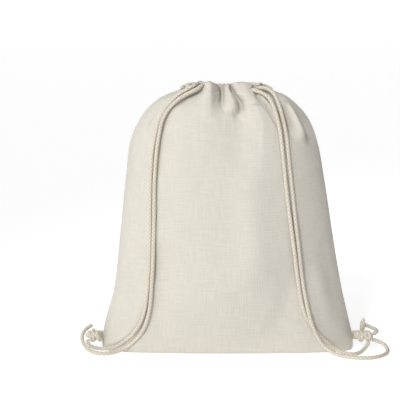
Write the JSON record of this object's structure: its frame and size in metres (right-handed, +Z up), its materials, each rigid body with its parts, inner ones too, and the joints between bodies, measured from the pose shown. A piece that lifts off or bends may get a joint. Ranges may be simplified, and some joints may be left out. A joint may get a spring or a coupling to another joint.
{
  "type": "drawstring backpack",
  "caption": "Cloth sack with a corded, gathered mouth and paired-cord shoulder straps knotted at tabs in the bottom corners.",
  "frame": {"origin": "middle of the flat base, on the surface the bag stands on", "axes": "+X right, -Y towards the wearer, where the straps lie, +Z up through the mouth"},
  "size_m": [0.4293, 0.1564, 0.3764],
  "materials": {
    "bag_cloth": "matt linen-look plain weave",
    "cotton_cord": "matt braided cotton",
    "sewing_thread": "matt spun thread"
  },
  "bodies": {
    "bag": {"back_casing": "bag_cloth", "back_casing_stitching": "sewing_thread", "back_panel": "bag_cloth", "bottom_seam": "bag_cloth", "bottom_stitching": "sewing_thread", "front_casing": "bag_cloth", "front_casing_stitching": "sewing_thread", "front_panel": "bag_cloth", "left_cord_in_casing": "cotton_cord", "left_inner_shoulder_cord": "cotton_cord", "left_outer_shoulder_cord": "cotton_cord", "left_side_seam": "bag_cloth", "left_side_stitching": "sewing_thread", "right_cord_in_casing": "cotton_cord", "right_inner_shoulder_cord": "cotton_cord", "right_outer_shoulder_cord": "cotton_cord", "right_side_seam": "bag_cloth", "right_side_stitching": "sewing_thread"},
    "left_strap": {"left_corner_tab": "bag_cloth", "left_inner_strap_cord": "cotton_cord", "left_knot": "cotton_cord", "left_outer_strap_cord": "cotton_cord", "left_tab_stitching": "sewing_thread", "left_tail": "cotton_cord"},
    "right_strap": {"right_corner_tab": "bag_cloth", "right_inner_strap_cord": "cotton_cord", "right_knot": "cotton_cord", "right_long_tail": "cotton_cord", "right_outer_strap_cord": "cotton_cord", "right_tab_stitching": "sewing_thread", "right_tail": "cotton_cord"}
  },
  "joints": [
    {"name": "left_strap_swing", "type": "hinge", "parent": "bag", "child": "left_strap", "pos_m": [-0.177, 0, 0.02], "axis": [-0.238, 0.1126, -0.9647], "range_deg": [0, 90]},
    {"name": "right_strap_swing", "type": "hinge", "parent": "bag", "child": "right_strap", "pos_m": [0.177, 0, 0.02], "axis": [-0.3044, -0.1205, 0.9449], "range_deg": [0, 90]}
  ]
}
